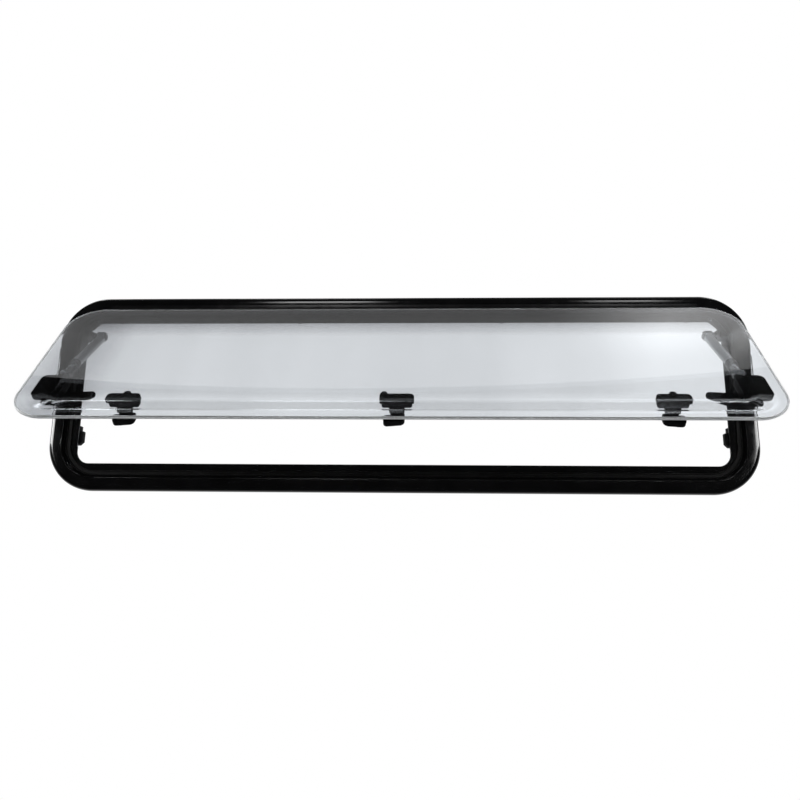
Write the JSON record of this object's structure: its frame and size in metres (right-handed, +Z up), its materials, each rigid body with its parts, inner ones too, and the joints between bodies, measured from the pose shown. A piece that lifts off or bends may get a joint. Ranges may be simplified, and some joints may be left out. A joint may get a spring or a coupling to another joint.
{
  "type": "caravan window",
  "caption": "Top-hung caravan window: black moulded frame with a wall flange, and a double acrylic pane held open on telescopic stays, with turning latches.",
  "frame": {"origin": "on the back face of the wall flange, half way along the bottom rail and half way up its flange", "axes": "+X along the window to the right as seen from outside, +Y through the wall into the caravan, +Z up"},
  "size_m": [1.26, 0.2393, 0.36],
  "materials": {
    "frame_black": "moulded gloss black",
    "seal_rubber": "extruded black rubber",
    "hinge_black": "black powder coat on an extrusion",
    "pane_acrylic": "clear grey-tinted acrylic, polished",
    "latch_black": "moulded satin black",
    "button_black": "moulded fine-textured black",
    "stay_fitting": "moulded black nylon",
    "stay_tube_grey": "satin anodised tube",
    "stay_steel": "drawn steel rod"
  },
  "bodies": {
    "root": {"outer_frame": "frame_black", "frame_seal": "seal_rubber", "hinge_rail": "hinge_black", "hinge_strip": "hinge_black", "pane_outer_sheet": "pane_acrylic", "pane_inner_sheet": "pane_acrylic", "latch_base_left": "latch_black", "latch_button_left": "button_black", "latch_spindle_left": "latch_black", "latch_handle_left": "latch_black", "latch_base_centre": "latch_black", "latch_button_centre": "button_black", "latch_spindle_centre": "latch_black", "latch_handle_centre": "latch_black", "latch_base_right": "latch_black", "latch_button_right": "button_black", "latch_spindle_right": "latch_black", "latch_handle_right": "latch_black", "hinge_end_cap_left": "hinge_black", "side_latch_base_left": "latch_black", "side_latch_lever_left": "latch_black", "side_catch_left": "latch_black", "stay_bracket_left": "stay_fitting", "stay_foot_left": "stay_fitting", "stay_tube_left": "stay_tube_grey", "stay_rod_left": "stay_steel", "stay_collar_left": "stay_fitting", "hinge_end_cap_right": "hinge_black", "side_latch_base_right": "latch_black", "side_latch_lever_right": "latch_black", "side_catch_right": "latch_black", "stay_bracket_right": "stay_fitting", "stay_foot_right": "stay_fitting", "stay_tube_right": "stay_tube_grey", "stay_rod_right": "stay_steel", "stay_collar_right": "stay_fitting"}
  },
  "joints": []
}
